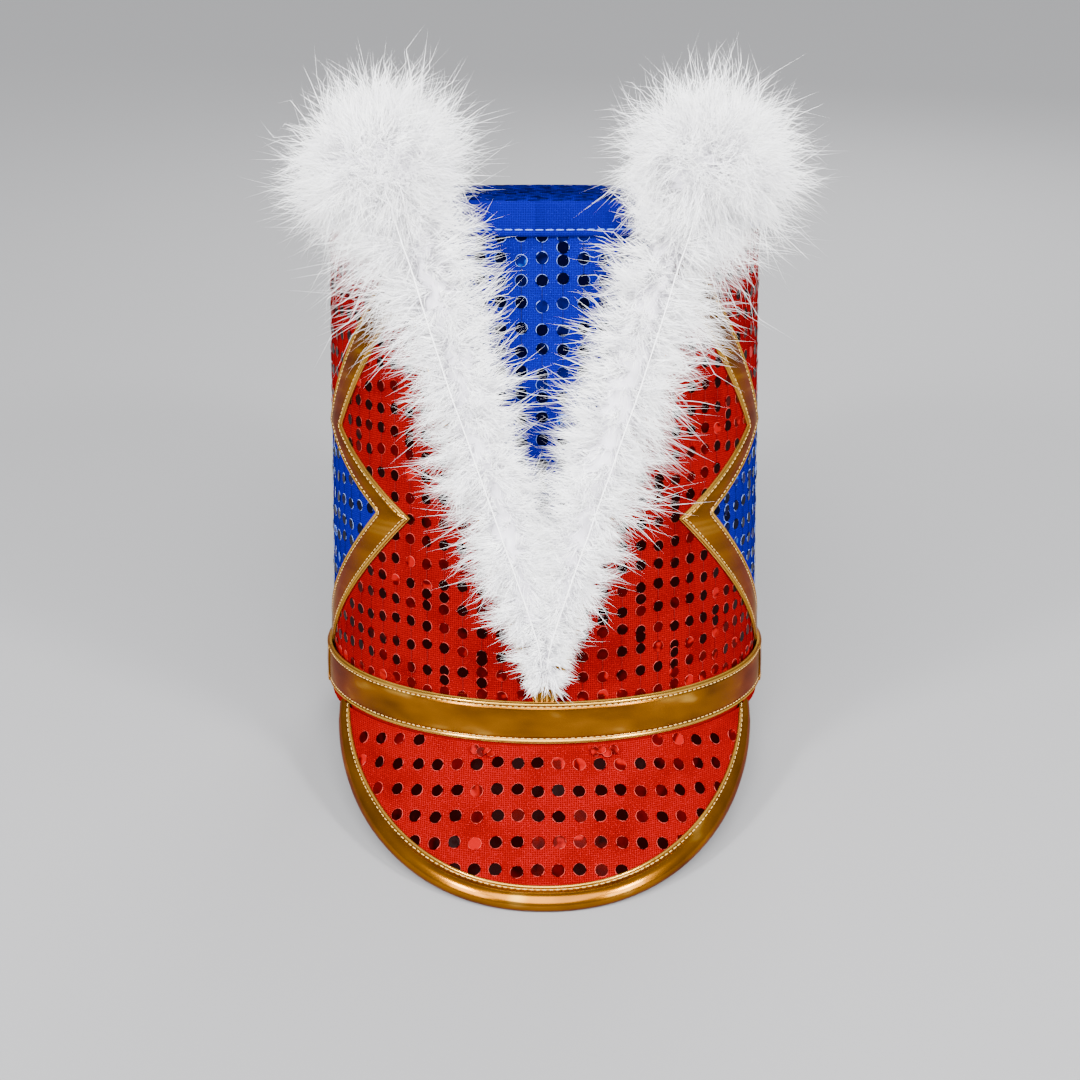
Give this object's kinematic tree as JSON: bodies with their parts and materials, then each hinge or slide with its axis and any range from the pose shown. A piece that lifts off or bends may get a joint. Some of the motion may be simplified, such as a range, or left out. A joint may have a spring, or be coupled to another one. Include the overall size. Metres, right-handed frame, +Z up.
{
  "type": "majorette hat",
  "caption": "Tall round majorette hat in red and blue sequin cloth, with gold trims and strap, a sloping peak and white down boas in a V.",
  "frame": {"origin": "centre of the hat's footprint on the surface that it rests on", "axes": "+Z up, -Y towards the front of the hat, +X to the right of someone facing the front"},
  "size_m": [0.196, 0.2688, 0.2872],
  "materials": {
    "red_sequin": "satin red cloth with flat mirror sequins in rows",
    "blue_sequin": "satin blue cloth with flat mirror sequins in rows",
    "blue_cloth": "plain matt blue cloth with a stitched edge",
    "red_cloth": "plain red cloth, folded",
    "gold_vinyl": "glossy gold coated vinyl with stitched, folded edges",
    "white_down": "soft white marabou down"
  },
  "bodies": {
    "root": {"crown_front_blue": "blue_sequin", "crown_front_red": "red_sequin", "crown_side_red": "red_sequin", "crown_side_blue": "blue_sequin", "crown_top": "blue_sequin", "top_band": "blue_cloth", "base_binding": "red_cloth", "v_trim": "gold_vinyl", "zigzag_trim_left": "gold_vinyl", "zigzag_trim_right": "gold_vinyl", "strap_front": "gold_vinyl", "strap_back": "gold_vinyl", "peak": "red_sequin", "peak_binding": "gold_vinyl", "boa_left": "white_down", "boa_right": "white_down", "puff_left": "white_down", "puff_right": "white_down"}
  },
  "joints": []
}
